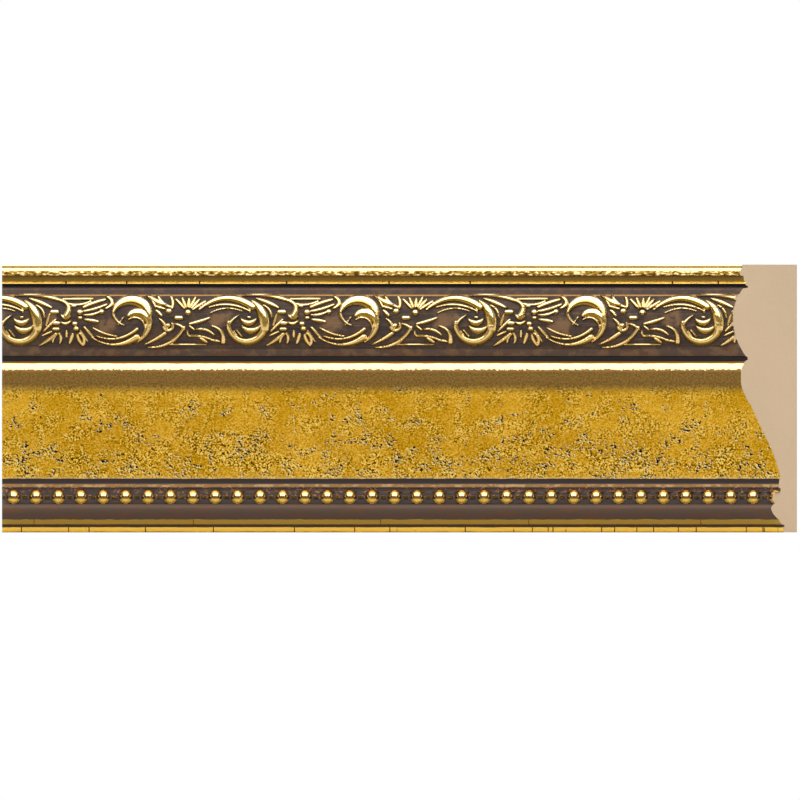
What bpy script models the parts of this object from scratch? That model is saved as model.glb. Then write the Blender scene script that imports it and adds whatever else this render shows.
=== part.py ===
"""A length of gilded wall moulding: one solid with its profile, running leaf scroll and bead course.

Sizes are in millimetres and turned into metres as the mesh is made. x runs along the moulding from its
middle. h is height above the lower edge, and z is h less half the width. Thickness is measured from the
back, which lies on y = 0, towards the face at -y. The left end is cut square. The right end is mitred at
45 degrees through the thickness, so it is longest at the back.
"""

import math

import bpy
import numpy as np

MM = 0.001

# Length along the back, and where the two ends meet it
LENGTH = 282.0
LEFT_END = -LENGTH / 2
RIGHT_END = LENGTH / 2

# The profile from the lower edge up: each member's rise, its thickness where it ends,
# and how far the middle of its face swells out (+) or in (-)
FOOT_THICKNESS = 4.6
MEMBERS = (
    ("foot arris", 0.3, 4.8, 0.0),
    ("foot fillet", 1.5, 5.1, 0.05),
    ("foot quirk wall", 0.15, 4.4, 0.0),
    ("foot quirk", 0.75, 4.5, 0.0),
    ("lip wall", 0.15, 5.3, 0.0),
    ("lip", 1.65, 6.4, 0.15),
    ("foot roll, under", 4.1, 9.2, 0.55),
    ("foot roll, over", 1.4, 8.3, 0.15),
    ("bead seat wall", 0.2, 7.2, 0.0),
    ("bead seat", 5.4, 5.7, -0.15),
    ("bead fillet wall", 0.2, 6.3, 0.0),
    ("bead fillet", 1.2, 6.45, 0.08),
    ("slope fillet", 1.9, 6.2, 0.0),
    ("slope foot wall", 0.2, 5.75, 0.0),
    ("slope foot", 10.9, 9.2, -0.25),
    ("slope", 15.0, 16.3, 0.1),
    ("slope shoulder", 8.0, 19.85, 0.55),
    ("listel", 4.3, 19.9, 0.0),
    ("weathering", 2.6, 18.85, 0.12),
    ("weathering fillet", 1.0, 18.2, 0.1),
    ("lower quirk wall", 0.3, 17.45, 0.0),
    ("lower quirk", 1.0, 17.5, 0.0),
    ("band edge", 0.3, 18.1, 0.0),
    ("band, under", 12.5, 22.6, 1.1),
    ("band, over", 11.5, 19.2, 1.15),
    ("upper quirk wall", 0.3, 17.4, 0.0),
    ("upper quirk", 0.6, 17.4, 0.0),
    ("upper step wall", 0.3, 18.1, 0.0),
    ("upper step", 0.65, 18.35, 0.0),
    ("upper step edge", 0.6, 18.1, 0.0),
    ("upper fillet wall", 0.2, 18.8, 0.0),
    ("upper fillet", 1.75, 18.95, 0.0),
    ("crown wall", 0.3, 20.2, 0.0),
    ("crown face", 1.6, 20.1, 0.03),
    ("crown weathering", 0.95, 19.75, 0.03),
    ("top quirk wall", 0.1, 19.45, 0.0),
    ("top quirk", 0.55, 19.45, 0.0),
    ("top arris wall", 0.1, 19.7, 0.0),
    ("top arris", 0.5, 19.45, 0.0),
)
WIDTH = sum(rise for _, rise, _, _ in MEMBERS)
CARVED = ("foot roll, over", "bead seat wall", "bead seat", "band, under", "band, over")

# The bead course: beads as half ellipsoids on a level inside the seat, and a small bar between each two
BEAD_PITCH = 7.95
FIRST_BEAD = -136.9
BEAD_COUNT = 36
BEAD_HEIGHT = 12.5
BEAD_HALF_WIDTH = 2.3
BEAD_HALF_TALL = 2.65
BEAD_LEVEL = 6.4
BEAD_DOME = 2.5
BAR_HALF_LENGTH = 0.9
BAR_HALF_TALL = 0.4
BAR_LEVEL = 7.1

# The running scroll: its centre line, its repeat, and the first of each of the two scrolls that take turns
BAND_MIDDLE = 75.3
REPEAT = 80.6
CLOSED_SCROLL = -94.8
OPEN_SCROLL = -54.2
REPEATS = range(-1, 4)
RELIEF = 1.4
THIN_SHARE = 0.45
BROAD_HALF_WIDTH = 1.6
EDGE_LINE = 8.8
EDGE_LINE_HALF_WIDTH = 0.45
EDGE_LINE_RELIEF = 0.35

# How finely the surface is sampled, and how many triangles the finished solid has
COLUMN_STEP = 0.5
CARVED_STEP = 0.45
PLAIN_STEP = 1.6
PATH_POINTS = 13
TURN_POINTS = 26
LEAST_REACH = 0.05
MITRE_ROUNDS = 4
TRIANGLES = 9400
FLATNESS = 0.06
NEARLY_ONE = 0.9999


def quadratic(first, middle, last, count):
    """Values that run evenly from first through middle to last, as a parabola does."""
    s = np.linspace(0.0, 1.0, count)
    return first * (1 - s) * (1 - 2 * s) + middle * 4 * s * (1 - s) + last * s * (2 * s - 1)


def blade(start, end, bow, half_widths):
    """A ridge from start to end, its middle pushed bow to the left. Half widths: start, middle, end."""
    start, end = np.array(start), np.array(end)
    chord = end - start
    left = np.array((-chord[1], chord[0])) / np.linalg.norm(chord)
    s = np.linspace(0.0, 1.0, PATH_POINTS)[:, None]
    path = start + s * chord + 4 * bow * s * (1 - s) * left
    return path, quadratic(*half_widths, PATH_POINTS)


def turn(centre, radii, from_degrees, sweep_degrees, half_widths, tall=1.0):
    """A ridge round centre through sweep_degrees, from the first radius to the second, and tall times as high."""
    angle = np.radians(from_degrees + np.linspace(0.0, sweep_degrees, TURN_POINTS))
    radius = np.linspace(*radii, TURN_POINTS)
    path = np.stack((centre[0] + radius * np.cos(angle), centre[1] + tall * radius * np.sin(angle)), axis=1)
    return path, quadratic(*half_widths, TURN_POINTS)


def berry(centre, half_width, half_tall):
    """A low round knob, drawn out sideways where half_width is the larger."""
    reach = max(half_width - half_tall, LEAST_REACH)
    x, z = centre
    return blade((x - reach, z), (x + reach, z), 0.0, (half_tall,) * 3)


def blades(*rows):
    """Several blades, each given as start, end, bow and half widths."""
    return [blade(*row) for row in rows]


def fan(node, inner, fingers, half_widths):
    """Straight fingers round a node, each given as its angle in degrees and how far it reaches."""
    ridges = []
    for degrees, reach in fingers:
        along = np.array((math.cos(math.radians(degrees)), math.sin(math.radians(degrees))))
        ridges.append(blade(node + inner * along, node + reach * along, 0.0, half_widths))
    return ridges


def closed_scroll():
    """The scroll that folds over itself, its crescent and rim, and three stems that sweep into its foot."""
    tail = blade((-6.8, 2.4), (-2.9, -1.8), -0.8, (0.6, 0.5, 0.3))
    cap = turn((0.0, 1.2), (7.0, 5.9), 166, -166, (0.5, 1.95, 1.1), 0.92)
    side = blade((5.9, 1.6), (1.7, -8.0), 1.6, (1.0, 1.1, 0.2))
    crescent = turn((1.3, -1.5), (4.1, 4.6), 130, -140, (0.7, 1.75, 0.5))
    rim = turn((0.6, -2.6), (3.4, 3.9), 125, -125, (0.35, 0.45, 0.3))
    stems = blades(
        ((-14.3, -6.2), (1.5, -6.3), -2.5, (0.4, 0.65, 1.4)),
        ((-12.6, -5.7), (1.7, -3.2), -2.1, (0.35, 0.5, 0.7)),
        ((-13.9, -2.8), (-5.6, -5.7), -0.5, (0.4, 0.45, 0.35)),
        ((-5.0, -1.6), (-3.0, 1.2), 0.0, (0.3, 0.3, 0.3)),
    )
    return [tail, cap, side, crescent, rim, *stems]


def upright_spray():
    """The leaves from a closed scroll to the next open one: a bud, a fan of upright fingers, a long stalk."""
    node = np.array((19.8, 2.7))
    fingers_up = ((132, 6.2), (112, 5.5), (86, 4.9), (64, 5.9), (49, 6.0), (33, 7.3))
    upper_fan = fan(node, 2.0, fingers_up, (0.4, 0.62, 0.45))
    leaves = blades(
        ((5.2, 8.9), (8.3, 4.6), 0.4, (0.35, 0.5, 0.4)),
        ((6.4, 8.3), (12.0, 5.6), -0.5, (0.5, 1.0, 0.4)),
        ((9.0, 9.0), (13.9, 4.6), -0.9, (0.4, 0.65, 0.45)),
        ((13.8, 8.2), (14.2, 4.3), 0.4, (0.5, 0.65, 0.45)),
        ((8.2, 5.0), (11.6, 4.0), 0.0, (0.4, 0.6, 0.4)),
        ((8.6, 3.4), (10.4, 1.6), 0.0, (0.5, 0.75, 0.5)),
    )
    bud = [
        blade((9.6, 0.5), (12.2, -3.4), 0.4, (0.35, 0.7, 0.6)),
        turn((12.7, -2.0), (1.75, 1.75), 200, 190, (0.5, 0.7, 0.45)),
        berry((12.7, -1.9), 0.9, 0.85),
    ]
    stalk = blades(
        ((15.2, -1.3), (18.4, -3.2), 0.3, (0.35, 0.6, 0.55)),
        ((18.4, -2.6), (5.7, -9.7), 2.3, (0.6, 0.7, 0.35)),
        ((11.5, -4.8), (4.4, -8.6), 0.3, (0.75, 0.65, 0.25)),
    )
    fingers = blades(
        ((20.4, -1.3), (27.4, 0.8), -0.2, (0.5, 0.7, 0.45)),
        ((20.3, -2.1), (22.0, -3.4), 0.0, (0.4, 0.5, 0.4)),
        ((23.0, -3.2), (29.0, -5.2), 0.7, (0.4, 0.6, 0.4)),
        ((19.6, -4.0), (20.4, -5.7), -0.3, (0.4, 0.5, 0.45)),
        ((20.2, -5.7), (28.6, -7.2), 0.6, (0.45, 0.55, 0.45)),
        ((24.2, -6.5), (26.4, -7.8), 0.0, (0.5, 0.65, 0.5)),
        ((28.0, -7.1), (31.0, -7.6), 0.0, (0.4, 0.6, 0.4)),
        ((13.2, -8.7), (26.2, -8.7), 0.0, (0.3, 0.4, 0.3)),
        ((28.4, -2.1), (32.3, -8.0), 1.5, (0.45, 0.65, 0.9)),
    )
    berries = [berry((13.0, 3.2), 1.2, 1.05), berry(node, 1.2, 1.15), berry((16.5, 0.8), 1.7, 0.85)]
    return [*upper_fan, *leaves, *bud, *stalk, *fingers, *berries]


def open_scroll():
    """The scroll that stays open: a long arm over a ring, ridges under the arm and two cups in the ring."""
    arm = blade((-16.8, 3.8), (2.1, 4.8), 3.6, (0.5, 1.1, 1.35))
    side = blade((1.9, 7.0), (6.3, -3.4), 1.5, (0.3, 1.75, 1.5))
    ring = turn((0.0, -1.3), (6.5, 6.5), -20, -165, (1.4, 1.25, 0.7))
    ring_end = blade((-6.5, -1.8), (-2.9, 1.7), 0.3, (0.7, 0.55, 0.3))
    cup = turn((0.65, 2.1), (3.1, 3.1), 213, 114, (0.35, 1.05, 0.35))
    lower_cup = turn((1.5, -0.1), (3.7, 3.7), 213, 114, (0.35, 1.15, 0.35))
    ridges = blades(
        ((-13.4, 4.6), (1.1, 3.2), 1.6, (0.35, 0.5, 0.35)),
        ((-12.9, 2.6), (-1.6, 3.2), 1.3, (0.3, 0.4, 0.3)),
        ((0.9, 4.2), (1.1, 2.6), 0.2, (0.35, 0.35, 0.3)),
        ((-3.6, -3.6), (-1.8, -5.7), 0.0, (0.35, 0.4, 0.35)),
        ((-4.6, -3.9), (-3.2, -5.9), 0.0, (0.3, 0.3, 0.3)),
    )
    return [arm, side, ring, ring_end, cup, lower_cup, *ridges, berry((0.8, 1.0), 0.8, 0.5)]


def hooked_spray():
    """The leaves from an open scroll to the next closed one: a hooked leaf, a hanging fan, long fingers."""
    hook = [
        blade((-1.4, 8.7), (14.6, 7.0), 1.0, (0.3, 0.7, 0.7)),
        blade((14.2, 7.2), (16.6, 1.4), 2.0, (0.7, 0.85, 1.3)),
        turn((16.3, 2.3), (1.5, 1.5), -40, -120, (0.8, 0.7, 0.4)),
        blade((14.7, -0.7), (18.0, -0.4), -0.7, (0.35, 0.7, 0.4)),
    ]
    leaves = blades(
        ((6.0, 5.3), (8.9, 0.9), 0.8, (0.35, 0.5, 0.3)),
        ((3.6, 7.7), (11.2, 4.5), 0.2, (0.35, 0.8, 0.5)),
        ((10.7, 2.1), (9.4, -1.9), 0.0, (0.35, 0.45, 0.35)),
        ((12.7, 0.1), (8.6, -3.9), 0.0, (0.5, 0.6, 0.35)),
    )
    hanging = blades(
        ((11.3, -4.1), (8.2, -5.5), 0.0, (0.4, 0.5, 0.35)),
        ((12.9, -4.9), (7.1, -9.0), 0.3, (0.6, 0.8, 0.3)),
        ((11.8, -7.9), (13.2, -5.2), 0.3, (0.4, 0.5, 0.4)),
        ((14.1, -4.8), (14.3, -8.2), 0.5, (0.5, 0.6, 0.35)),
        ((16.7, -3.9), (16.7, -6.0), 0.0, (0.4, 0.5, 0.4)),
        ((18.8, -5.0), (17.8, -8.2), 0.1, (0.55, 0.75, 0.5)),
        ((20.6, -5.2), (22.5, -9.0), -0.4, (0.5, 0.75, 0.5)),
        ((21.2, -4.6), (22.9, -8.6), 0.7, (0.4, 0.6, 0.5)),
        ((21.6, -3.8), (24.2, -7.6), 0.0, (0.4, 0.5, 0.35)),
        ((23.0, -2.6), (26.2, -6.2), 0.0, (0.5, 0.65, 0.5)),
    )
    fingers = blades(
        ((15.5, 7.5), (26.0, 7.6), 0.0, (0.4, 0.55, 0.45)),
        ((16.3, 6.2), (25.2, 6.7), -1.0, (0.4, 0.55, 0.45)),
        ((22.7, 4.6), (30.3, 7.3), 0.2, (0.5, 0.7, 0.55)),
        ((22.9, 3.2), (30.9, 5.6), -0.3, (0.5, 0.6, 0.45)),
        ((23.0, 1.8), (28.6, 3.0), -0.4, (0.45, 0.6, 0.45)),
        ((23.3, 0.2), (27.8, -0.5), 0.0, (0.5, 0.75, 0.5)),
        ((31.2, 8.4), (30.7, 4.2), 1.9, (0.55, 0.8, 0.45)),
    )
    berries = [
        berry((12.4, 2.9), 1.75, 0.85),
        berry((13.1, -1.1), 1.5, 0.8),
        berry((12.9, -3.2), 1.5, 0.75),
        berry((19.3, 5.1), 1.0, 0.75),
        berry((21.4, 2.8), 1.15, 1.1),
        berry((21.5, 0.8), 0.9, 0.7),
        berry((19.6, -1.3), 1.1, 0.85),
        berry((20.1, -3.1), 1.1, 0.9),
        berry((29.1, 3.0), 1.05, 1.0),
    ]
    return [*hook, *leaves, *hanging, *fingers, *berries]


def raise_ridge(relief, x, h, ridge, origin):
    """Raises relief to a ridge whose section is half an ellipse, lower where the whole ridge is thin."""
    path, half_width = ridge[0] + origin, ridge[1]
    low = path.min(axis=0) - half_width.max()
    high = path.max(axis=0) + half_width.max()
    rows = np.flatnonzero((h >= low[1]) & (h <= high[1]))
    columns = np.flatnonzero((x.max(axis=0) >= low[0]) & (x.min(axis=0) <= high[0]))
    if not len(rows) or not len(columns):
        return
    block = np.ix_(rows, columns)
    spot = np.stack(np.broadcast_arrays(x[block], h[rows][:, None]), axis=-1)[..., None, :]
    start, run = path[:-1], np.diff(path, axis=0)
    share = (((spot - start) * run).sum(axis=-1) / (run**2).sum(axis=-1)).clip(0.0, 1.0)
    away = np.linalg.norm(spot - start - share[..., None] * run, axis=-1)
    width = half_width[:-1] + share * np.diff(half_width)
    section = np.sqrt(np.clip(1 - (away / width) ** 2, 0.0, None)).max(axis=-1)
    broad = min(1.0, half_width.max() / BROAD_HALF_WIDTH)
    height = RELIEF * (THIN_SHARE + (1 - THIN_SHARE) * broad)
    relief[block] = np.maximum(relief[block], height * section)


def scroll_relief(x, h):
    """How far the running scroll and the raised line above it stand out of the band at each x and h."""
    line = np.clip(1 - ((h - BAND_MIDDLE - EDGE_LINE) / EDGE_LINE_HALF_WIDTH) ** 2, 0.0, None)
    relief = np.broadcast_to(EDGE_LINE_RELIEF * np.sqrt(line)[:, None], x.shape).copy()
    closed = closed_scroll() + upright_spray()
    opened = open_scroll() + hooked_spray()
    for repeat in REPEATS:
        for first, ridges in ((CLOSED_SCROLL, closed), (OPEN_SCROLL, opened)):
            origin = np.array((first + repeat * REPEAT, BAND_MIDDLE))
            for ridge in ridges:
                raise_ridge(relief, x, h, ridge, origin)
    return relief


def bead_surface(x, h):
    """Thickness of the bead course at each x and h: beads at even pitch and a bar half way between them."""
    step = (x - FIRST_BEAD) / BEAD_PITCH
    from_bead = (step - np.clip(np.round(step), 0, BEAD_COUNT - 1)) * BEAD_PITCH
    from_bar = (step - np.floor(step) - 0.5) * BEAD_PITCH
    up = (h - BEAD_HEIGHT)[:, None]
    bead = 1 - (from_bead / BEAD_HALF_WIDTH) ** 2 - (up / BEAD_HALF_TALL) ** 2
    bar = (np.abs(from_bar) <= BAR_HALF_LENGTH) & (np.abs(up) <= BAR_HALF_TALL)
    dome = np.where(bead > 0, BEAD_LEVEL + BEAD_DOME * np.sqrt(np.clip(bead, 0.0, None)), 0.0)
    return np.maximum(dome, np.where(bar, BAR_LEVEL, 0.0))


def profile():
    """Heights and plain thicknesses of the face from the lower edge up, closest where it is carved."""
    heights, thicknesses = [0.0], [FOOT_THICKNESS]
    for name, rise, thickness, swell in MEMBERS:
        step = CARVED_STEP if name in CARVED else PLAIN_STEP
        count = max(1, math.ceil(rise / step)) if swell or name in CARVED else 1
        share = np.arange(1, count + 1) / count
        base, before = heights[-1], thicknesses[-1]
        heights.extend(base + rise * share)
        thicknesses.extend(before + (thickness - before) * share + 4 * swell * share * (1 - share))
    return np.array(heights), np.array(thicknesses)


def face():
    """The face on a grid of heights by columns, as x and thickness, with the last column on the mitre."""
    h, plain = profile()
    plain = plain[:, None]

    def thickness(x):
        return np.maximum(plain + scroll_relief(x, h), bead_surface(x, h))

    end = RIGHT_END - plain
    for _ in range(MITRE_ROUNDS):
        end = RIGHT_END - thickness(end)
    share = np.linspace(0.0, 1.0, math.ceil(LENGTH / COLUMN_STEP) + 1)
    x = LEFT_END + (end - LEFT_END) * share
    thick = thickness(x)
    thick[:, -1] = RIGHT_END - x[:, -1]
    return h, x, thick


def closed_mesh(name):
    """The face with a flat back added to every column, and both ends closed by one face each."""
    h, x, thick = face()
    back = np.linspace(LEFT_END, RIGHT_END, x.shape[1])
    x = np.vstack((x, back, back))
    y = -np.vstack((thick, np.zeros((2, x.shape[1]))))
    z = np.broadcast_to(np.append(h, (WIDTH, 0.0))[:, None] - WIDTH / 2, x.shape)
    points = np.stack((x, y, z), axis=-1).reshape(-1, 3) * MM
    rings, columns = x.shape
    index = np.arange(rings * columns).reshape(rings, columns)
    above = np.roll(index, -1, axis=0)
    quads = np.stack((index[:, :-1], index[:, 1:], above[:, 1:], above[:, :-1]), axis=-1).reshape(-1, 4)
    ends = [index[:, 0].tolist(), index[::-1, -1].tolist()]
    mesh = bpy.data.meshes.new(name)
    mesh.from_pydata(points.tolist(), [], quads.tolist() + ends)
    mesh.update()
    return mesh


def reduce(shape):
    """Collapses the mesh to its triangle count, most of it on the carving, then trues its flat faces."""
    shape.data.calc_loop_triangles()
    collapse = shape.modifiers.new("reduce", "DECIMATE")
    collapse.ratio = TRIANGLES / len(shape.data.loop_triangles)
    collapse.use_collapse_triangulate = True
    reduced = bpy.data.meshes.new_from_object(shape.evaluated_get(bpy.context.evaluated_depsgraph_get()))
    shape.modifiers.remove(collapse)
    points = np.empty(3 * len(reduced.vertices))
    reduced.vertices.foreach_get("co", points)
    x, y, z = points.reshape(-1, 3).T / MM
    y[np.abs(y) < FLATNESS] = 0.0
    for edge in (-WIDTH / 2, WIDTH / 2):
        z[np.abs(z - edge) < FLATNESS] = edge
    x[np.abs(x - LEFT_END) < FLATNESS] = LEFT_END
    mitre = np.abs(x - y - RIGHT_END) < FLATNESS
    x[mitre] = RIGHT_END + y[mitre]
    reduced.vertices.foreach_set("co", (np.stack((x, y, z), axis=1) * MM).ravel())
    reduced.update()
    shape.data = reduced


def material(name, colour, roughness, metallic):
    """A plain finish on the Principled shader."""
    made = bpy.data.materials.new(name)
    made.use_nodes = True
    shader = made.node_tree.nodes["Principled BSDF"]
    shader.inputs["Base Color"].default_value = (*colour, 1.0)
    shader.inputs["Roughness"].default_value = roughness
    shader.inputs["Metallic"].default_value = metallic
    return made


def paint(shape):
    """Gilding on the face and the two long edges, bare material on the back and the two cut ends."""
    shape.data.materials.append(material("antique gilding", (0.53, 0.31, 0.045), 0.35, 0.9))
    shape.data.materials.append(material("bare core", (0.62, 0.46, 0.29), 0.8, 0.0))
    for polygon in shape.data.polygons:
        x, y, _ = polygon.normal
        square = max(y, -x) > NEARLY_ONE
        mitred = (x - y) * math.sqrt(0.5) > NEARLY_ONE
        polygon.material_index = int(square or mitred)


def main():
    for old in list(bpy.data.objects):
        bpy.data.objects.remove(old, do_unlink=True)
    shape = bpy.data.objects.new("moulding", closed_mesh("moulding"))
    bpy.context.scene.collection.objects.link(shape)
    reduce(shape)
    paint(shape)


main()
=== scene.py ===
"""Gives the wall moulding its looks: the carved, gilded body in fine mesh, and a plain studio round it.

Sizes in the shape tables are millimetres. x runs along the moulding from its middle and h is height above
its lower edge. Thickness is measured from the flat back, on y = 0, towards the face at -y.
"""

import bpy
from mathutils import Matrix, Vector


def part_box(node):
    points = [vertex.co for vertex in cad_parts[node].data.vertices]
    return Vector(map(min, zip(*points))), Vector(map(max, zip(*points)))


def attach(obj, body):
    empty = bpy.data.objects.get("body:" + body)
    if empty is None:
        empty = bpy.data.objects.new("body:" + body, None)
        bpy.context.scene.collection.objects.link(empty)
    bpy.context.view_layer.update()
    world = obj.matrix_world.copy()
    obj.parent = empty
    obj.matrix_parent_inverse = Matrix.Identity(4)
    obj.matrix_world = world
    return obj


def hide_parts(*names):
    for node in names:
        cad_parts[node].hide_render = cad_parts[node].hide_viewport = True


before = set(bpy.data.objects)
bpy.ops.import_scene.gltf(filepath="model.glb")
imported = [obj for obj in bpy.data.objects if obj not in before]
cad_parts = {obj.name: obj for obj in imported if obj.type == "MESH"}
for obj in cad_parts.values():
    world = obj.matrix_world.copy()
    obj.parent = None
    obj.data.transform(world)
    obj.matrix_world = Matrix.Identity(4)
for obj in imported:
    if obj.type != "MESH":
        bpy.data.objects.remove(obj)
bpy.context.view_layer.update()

import math

import bpy
import numpy as np
from bpy.props import FloatProperty, FloatVectorProperty, IntProperty, PointerProperty
from bpy.types import Operator, Panel, PropertyGroup

bl_info = {
    "name": "Gilded wall moulding",
    "version": (1, 0, 0),
    "blender": (4, 5, 0),
    "location": "View3D > Sidebar > Moulding",
    "description": "A length of gilded wall moulding with a running leaf scroll and a bead course",
    "category": "Add Mesh",
}

MM = 0.001
NODE = "moulding"

# The frame's own box gives the length, the width and where the ends meet the back
LOW, HIGH = (np.array(corner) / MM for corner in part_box(NODE))
LEFT_END, RIGHT_END = LOW[0], HIGH[0]
FOOT, TOP = LOW[2], HIGH[2]

# The profile from the lower edge up: each member's rise, its thickness where it ends,
# and how far the middle of its face swells out (+) or in (-)
FOOT_THICKNESS = 4.6
MEMBERS = (
    ("foot arris", 0.3, 4.8, 0.0),
    ("foot fillet", 1.5, 5.1, 0.05),
    ("foot quirk wall", 0.15, 4.4, 0.0),
    ("foot quirk", 0.75, 4.5, 0.0),
    ("lip wall", 0.15, 5.3, 0.0),
    ("lip", 1.65, 6.4, 0.15),
    ("foot roll, under", 4.1, 9.2, 0.55),
    ("foot roll, over", 1.4, 8.3, 0.15),
    ("bead seat wall", 0.2, 7.2, 0.0),
    ("bead seat", 5.4, 5.7, -0.15),
    ("bead fillet wall", 0.2, 6.3, 0.0),
    ("bead fillet", 1.2, 6.45, 0.08),
    ("slope fillet", 1.9, 6.2, 0.0),
    ("slope foot wall", 0.2, 5.75, 0.0),
    ("slope foot", 10.9, 9.2, -0.25),
    ("slope", 15.0, 16.3, 0.1),
    ("slope shoulder", 8.0, 19.85, 0.55),
    ("listel", 4.3, 19.9, 0.0),
    ("weathering", 2.6, 18.85, 0.12),
    ("weathering fillet", 1.0, 18.2, 0.1),
    ("lower quirk wall", 0.3, 17.45, 0.0),
    ("lower quirk", 1.0, 17.5, 0.0),
    ("band edge", 0.3, 18.1, 0.0),
    ("band, under", 12.5, 22.6, 1.1),
    ("band, over", 11.5, 19.2, 1.15),
    ("upper quirk wall", 0.3, 17.4, 0.0),
    ("upper quirk", 0.6, 17.4, 0.0),
    ("upper step wall", 0.3, 18.1, 0.0),
    ("upper step", 0.65, 18.35, 0.0),
    ("upper step edge", 0.6, 18.1, 0.0),
    ("upper fillet wall", 0.2, 18.8, 0.0),
    ("upper fillet", 1.75, 18.95, 0.0),
    ("crown wall", 0.3, 20.2, 0.0),
    ("crown face", 1.6, 20.1, 0.03),
    ("crown weathering", 0.95, 19.75, 0.03),
    ("top quirk wall", 0.1, 19.45, 0.0),
    ("top quirk", 0.55, 19.45, 0.0),
    ("top arris wall", 0.1, 19.7, 0.0),
    ("top arris", 0.5, 19.45, 0.0),
)
CARVED = ("foot roll, over", "bead seat wall", "bead seat", "band, under", "band, over")

# Heights between which the face is gilded, rubbed to copper, rusty, blackened by the wash and by painted
# shade, or crackled
GILDED = ((0.25, 1.8), (2.8, 4.55), (19.1, 59.9), (88.3, 95.2))
COPPERED = ((16.2, 17.0), (83.8, 84.4))
RUSTED = (59.8, 60.6)
WASHED_AND_SHADED = ((17.4, 19.1), (60.6, 62.5), (86.9, 88.2))
CRACKLED = (19.1, 53.0)

# The foot fillet's and the lip's upper edges, then the beads' foot, made lighter as painted light, their
# waist, darkened as painted shade, and their seat
FOOT_FILLET = 1.95
LIP = 4.55
BEAD_FOOT = (9.5, 11.8)
BEAD_WAIST_SHADE = (11.9, 13.0)
BEAD_SEAT = (12.0, 17.0)

# The scroll's band, the ground over its edge line that takes painted shade, and above it the bright member,
# the member coloured matt dark olive as painted shade, and the flecked one
BAND = (62.5, 86.5)
SHADED_GROUND = (84.0, 86.1)
BRIGHT_LINE = (88.2, 89.1)
SHADED_FILLET = (89.1, 90.95)
SPECKLED = (91.0, 92.8)

# Heights from nothing to full: the clear coat, the darker copper, and how the painted highlight on the
# leaves' upper sides grows
COATED = (12.2, 13.0)
DARK_COPPER = (80.0, 82.0)
SHEEN_RISE = (68.0, 77.0)

# The listel's painted shade, in brown: from nothing to full over the slope's shoulder, from full to nothing
# at the listel's upper edge, and the rusty fringe where it ends
SHADE_BEGINS = (48.0, 52.8)
SHADE_ENDS = (57.4, 57.1)
SHADE_FRINGE = (57.0, 57.8)

# Tints beside the panel's own colours: the slope with its painted glints and its pits with their painted
# highlight rims, the gilding with its painted sheen, glints and waist shade, its cracks, and the wash with
# its painted shade
SLOPE_CLOUD = (0.82, 0.46, 0.025)
SLOPE_GLINT = (1.0, 0.80, 0.24)
SLOPE_SPECK = (0.06, 0.025, 0.001)
PIT_RIM_HIGHLIGHT = (1.0, 0.88, 0.5)
PIT = (0.012, 0.007, 0.003)
PAINTED_SHEEN_GOLD = (1.0, 0.84, 0.46)
CROWN_GOLD = (0.40, 0.22, 0.025)
CROWN_SPECK = (0.10, 0.05, 0.01)
CROWN_GLINT = (1.0, 0.82, 0.42)
FOOT_GOLD = (0.95, 0.58, 0.07)
WAIST_SHADE_BROWN = (0.16, 0.07, 0.012)
CRACK = (0.06, 0.02, 0.005)
RUBBED_COPPER = (0.75, 0.5, 0.26)
RUST = (0.24, 0.11, 0.015)
RUST_STREAK = (0.13, 0.06, 0.03)
SEAT_FLECK = (0.45, 0.22, 0.09)
BLACK_WASH_AND_SHADE = (0.014, 0.011, 0.012)

# Cracks across the fillets: their pitch, and the shares of it at which a crack begins and is whole
SMALL_FOOT_CRACKS = (6.5, 0.035, 0.018)
FOOT_CRACKS = (27.0, 0.009, 0.005)
LIP_CRACKS = (53.0, 0.003, 0.001)
LINE_CRACKS = (29.0, 0.013, 0.007)

# Roughness of the wash, how much smoother the leaf is, how much rougher its matt parts and copper are, and
# the height of the bump in millimetres
WASH_ROUGHNESS = 0.55
LEAF_GLOSS = 0.36
MATT = 0.28
COPPER_MATT = 0.2
BUMP = 0.05

# The bead course: beads as half ellipsoids on a level inside the seat, and a small bar between each two
BEAD_PITCH = 7.95
FIRST_BEAD = -136.9
BEAD_COUNT = 36
BEAD_HEIGHT = 12.5
BEAD_HALF_WIDTH = 2.3
BEAD_HALF_TALL = 2.65
BEAD_LEVEL = 6.4
BEAD_DOME = 2.5
BAR_HALF_LENGTH = 0.9
BAR_HALF_TALL = 0.4
BAR_LEVEL = 7.1

# The running scroll: its centre line, its repeat, and the first of each of the two scrolls that take turns
BAND_MIDDLE = 75.3
REPEAT = 80.6
CLOSED_SCROLL = -94.8
OPEN_SCROLL = -54.2
REPEATS = range(-1, 4)
THIN_SHARE = 0.45
BROAD_HALF_WIDTH = 1.6
EDGE_LINE = 8.8
EDGE_LINE_HALF_WIDTH = 0.45
EDGE_LINE_RELIEF = 0.35
PATH_POINTS = 17
TURN_POINTS = 37
LEAST_REACH = 0.05
MITRE_ROUNDS = 4

# The gilding on a raised part starts this high above the ground, and is whole twice as high
LEAF_GILT_EDGE = 0.2
BEAD_GILT_EDGE = 0.08

# The dark wash, partly painted shade, lies this far round each raised part, and thins out over ovals beside
# the scrolls, each given as its scroll, its middle from that scroll's own, and its half width and half height
WASH_AND_SHADE_WIDTH = 0.45
OVALS = (
    (OPEN_SCROLL, (-9.8, 0.0), (6.0, 4.6)),
    (OPEN_SCROLL, (11.3, 0.8), (2.2, 2.8)),
    (CLOSED_SCROLL, (-8.8, -1.6), (6.2, 4.4)),
)
OVAL_BLUR = 0.9

# The softboxes, each as elevation in degrees, distance, width and height in metres
KEY_BOX = (45.0, 0.9, 1.8, 1.1)
OVERHEAD_BOX = (95.0, 1.0, 1.6, 0.7)

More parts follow.
